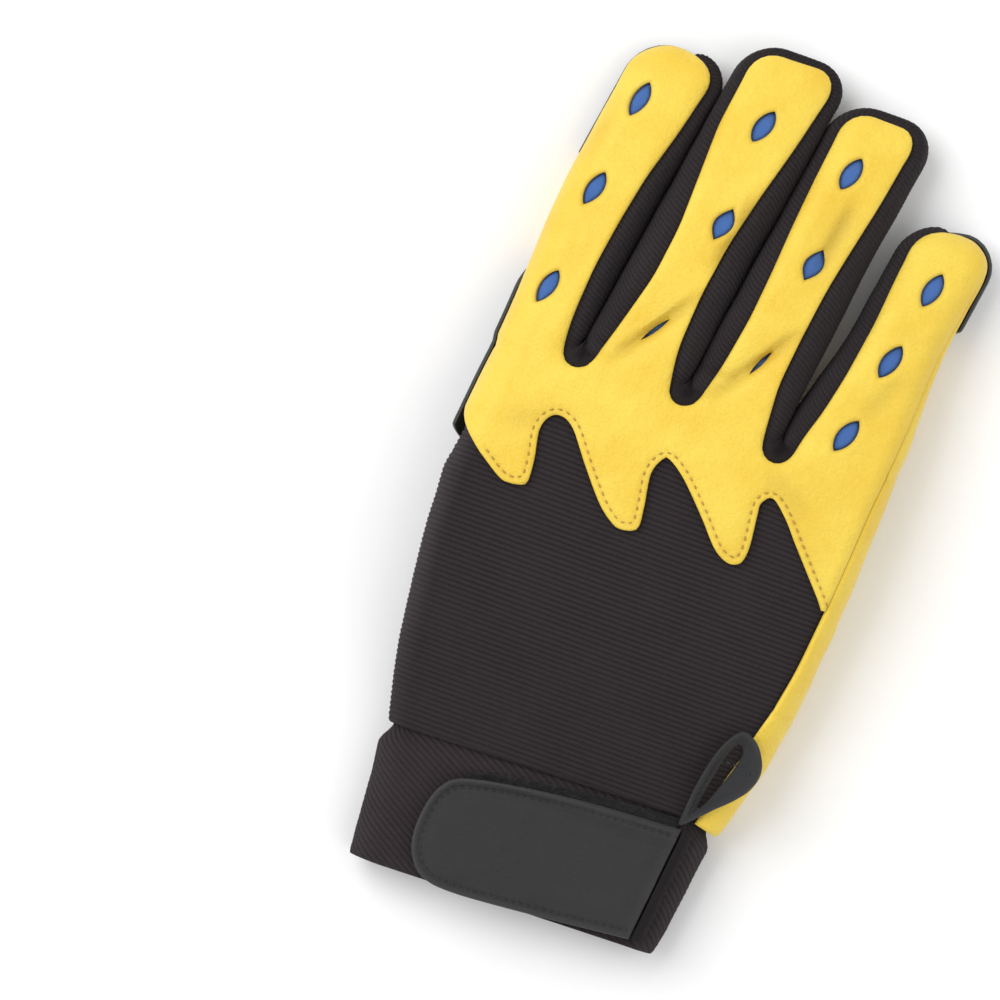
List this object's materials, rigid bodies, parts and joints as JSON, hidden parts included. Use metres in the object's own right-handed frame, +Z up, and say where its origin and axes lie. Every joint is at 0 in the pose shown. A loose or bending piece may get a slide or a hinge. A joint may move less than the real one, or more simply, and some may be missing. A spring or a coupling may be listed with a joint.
{
  "type": "mechanic glove",
  "caption": "Right-hand work glove of soft leather and ribbed cloth, back up, thumb folded under, with dark palm pads, a hook-and-loop wrist strap and a pull loop.",
  "frame": {"origin": "middle of the bounding box, on the surface that the glove lies on", "axes": "+Z up from the palm side to the back of the hand, +Y along the glove from the cuff towards the fingertips, +X towards the little finger"},
  "size_m": [0.1236, 0.2462, 0.0344],
  "materials": {
    "ribbed_cloth_back_fabric": "matt ribbed knit",
    "yellow_leather_back_leather": "soft matt grain leather",
    "ribbed_cloth_cuff": "matt ribbed knit",
    "grey_pad_finger_base_pad": "matt synthetic leather",
    "grey_pad_fingertip_cap_index": "matt synthetic leather",
    "grey_pad_fingertip_cap_little": "matt synthetic leather",
    "grey_pad_fingertip_cap_middle": "matt synthetic leather",
    "grey_pad_fingertip_cap_ring": "matt synthetic leather",
    "ribbed_cloth_fourchette_index_middle": "matt ribbed knit",
    "ribbed_cloth_fourchette_middle_ring": "matt ribbed knit",
    "ribbed_cloth_fourchette_ring_little": "matt ribbed knit",
    "grey_pad_heel_pad": "matt synthetic leather",
    "grey_pad_index_side_pad": "matt synthetic leather",
    "fuzzy_patch_loop_patch": "matt brushed loops",
    "grey_pad_palm_dot_pad": "matt synthetic leather",
    "yellow_leather_palm_leather": "soft matt grain leather",
    "black_tape_pull_loop": "satin woven tape",
    "blue_cloth_slot_liner_index": "matt woven cloth",
    "blue_cloth_slot_liner_little": "matt woven cloth",
    "blue_cloth_slot_liner_middle": "matt woven cloth",
    "blue_cloth_slot_liner_ring": "matt woven cloth",
    "black_tape_strap_end_binding": "satin woven tape",
    "yellow_leather_thumb_leather": "soft matt grain leather",
    "yellow_leather_thumb_nail_leather": "soft matt grain leather",
    "grey_pad_thumb_saddle_pad": "matt synthetic leather",
    "grey_pad_thumb_tip_cap": "matt synthetic leather",
    "strap_rubber_wrist_strap": "satin moulded rubber"
  },
  "bodies": {
    "root": {"back_fabric": "ribbed_cloth_back_fabric", "back_leather": "yellow_leather_back_leather", "cuff": "ribbed_cloth_cuff", "finger_base_pad": "grey_pad_finger_base_pad", "fingertip_cap_index": "grey_pad_fingertip_cap_index", "fingertip_cap_little": "grey_pad_fingertip_cap_little", "fingertip_cap_middle": "grey_pad_fingertip_cap_middle", "fingertip_cap_ring": "grey_pad_fingertip_cap_ring", "fourchette_index_middle": "ribbed_cloth_fourchette_index_middle", "fourchette_middle_ring": "ribbed_cloth_fourchette_middle_ring", "fourchette_ring_little": "ribbed_cloth_fourchette_ring_little", "heel_pad": "grey_pad_heel_pad", "index_side_pad": "grey_pad_index_side_pad", "loop_patch": "fuzzy_patch_loop_patch", "palm_dot_pad": "grey_pad_palm_dot_pad", "palm_leather": "yellow_leather_palm_leather", "pull_loop": "black_tape_pull_loop", "slot_liner_index": "blue_cloth_slot_liner_index", "slot_liner_little": "blue_cloth_slot_liner_little", "slot_liner_middle": "blue_cloth_slot_liner_middle", "slot_liner_ring": "blue_cloth_slot_liner_ring", "strap_end_binding": "black_tape_strap_end_binding", "thumb_leather": "yellow_leather_thumb_leather", "thumb_nail_leather": "yellow_leather_thumb_nail_leather", "thumb_saddle_pad": "grey_pad_thumb_saddle_pad", "thumb_tip_cap": "grey_pad_thumb_tip_cap", "wrist_strap": "strap_rubber_wrist_strap"}
  },
  "joints": []
}
